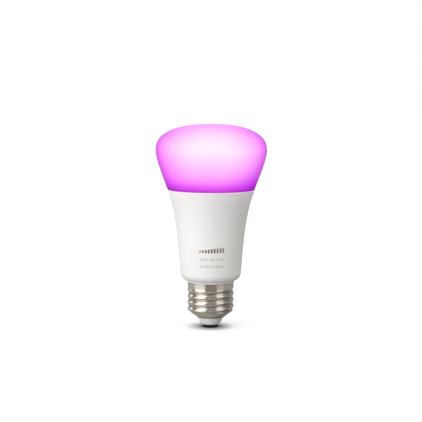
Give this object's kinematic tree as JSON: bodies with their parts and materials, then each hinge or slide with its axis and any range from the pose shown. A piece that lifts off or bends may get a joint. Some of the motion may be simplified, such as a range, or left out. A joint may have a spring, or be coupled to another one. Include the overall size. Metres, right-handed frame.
{
  "type": "smart light bulb",
  "caption": "Colour-changing LED bulb with a wide frosted diffuser, a flared white housing holding driver and radio boards, and a threaded metal screw cap.",
  "frame": {"origin": "on the bulb's axis, at the end face of the centre contact, where the bulb meets its lampholder", "axes": "+Z along the axis from the screw cap to the top of the diffuser; front towards -Y, +X to the front view's right"},
  "size_m": [0.062, 0.062, 0.1138],
  "materials": {
    "centre_contact": "tinned, stamped",
    "contact_nail": "tinned",
    "base_insulator": "moulded, semi-gloss",
    "screw_shell": "nickel plated, bright",
    "neutral_lead": "insulated wire",
    "live_lead": "insulated wire",
    "housing": "satin",
    "heat_sink": "drawn, dull",
    "driver_liner": "moulded",
    "seal_bead": "silicone",
    "diffuser": "frosted, lit from inside",
    "led_carrier": "pressed",
    "thermal_pad": "matte",
    "led_board": "white solder mask",
    "board_screws": "zinc plated",
    "reflector_ring": "white, moulded",
    "warm_white_leds": "phosphor",
    "cool_white_leds": "phosphor",
    "red_leds": "clear lens",
    "green_leds": "clear lens",
    "blue_leds": "clear lens",
    "board_socket": "moulded",
    "header_strip": "moulded",
    "header_pins": "gold flashed",
    "driver_board": "glass-fibre laminate, solder mask",
    "fusible_resistor": "lacquered",
    "varistor": "epoxy dipped",
    "input_choke": "shrink sleeve",
    "film_capacitor": "moulded case",
    "bridge_rectifier": "moulded",
    "bulk_capacitors": "sleeved can",
    "transformer_core": "ferrite",
    "transformer_bobbin": "moulded",
    "transformer_winding": "polyester tape",
    "output_capacitors": "sleeved can",
    "power_transistor": "moulded",
    "driver_chips": "moulded",
    "chip_resistors": "glazed",
    "chip_capacitors": "fired",
    "radio_board": "glass-fibre laminate, solder mask",
    "radio_pins": "gold flashed",
    "radio_chip": "moulded",
    "radio_shield": "tinned",
    "radio_crystal": "plated",
    "antenna": "copper strip",
    "antenna_cover": "moulded"
  },
  "bodies": {
    "root": {"centre_contact": "centre_contact", "contact_nail": "contact_nail", "base_insulator": "base_insulator", "screw_shell": "screw_shell", "neutral_lead": "neutral_lead", "live_lead": "live_lead", "housing": "housing", "heat_sink": "heat_sink", "driver_liner": "driver_liner", "seal_bead": "seal_bead", "diffuser": "diffuser", "led_carrier": "led_carrier", "thermal_pad": "thermal_pad", "led_board": "led_board", "board_screws": "board_screws", "reflector_ring": "reflector_ring", "warm_white_leds": "warm_white_leds", "cool_white_leds": "cool_white_leds", "red_leds": "red_leds", "green_leds": "green_leds", "blue_leds": "blue_leds", "board_socket": "board_socket", "header_strip": "header_strip", "header_pins": "header_pins", "driver_board": "driver_board", "fusible_resistor": "fusible_resistor", "varistor": "varistor", "input_choke": "input_choke", "film_capacitor": "film_capacitor", "bridge_rectifier": "bridge_rectifier", "bulk_capacitors": "bulk_capacitors", "transformer_core": "transformer_core", "transformer_bobbin": "transformer_bobbin", "transformer_winding": "transformer_winding", "output_capacitors": "output_capacitors", "power_transistor": "power_transistor", "driver_chips": "driver_chips", "chip_resistors": "chip_resistors", "chip_capacitors": "chip_capacitors", "radio_board": "radio_board", "radio_pins": "radio_pins", "radio_chip": "radio_chip", "radio_shield": "radio_shield", "radio_crystal": "radio_crystal", "antenna": "antenna", "antenna_cover": "antenna_cover"}
  },
  "joints": []
}
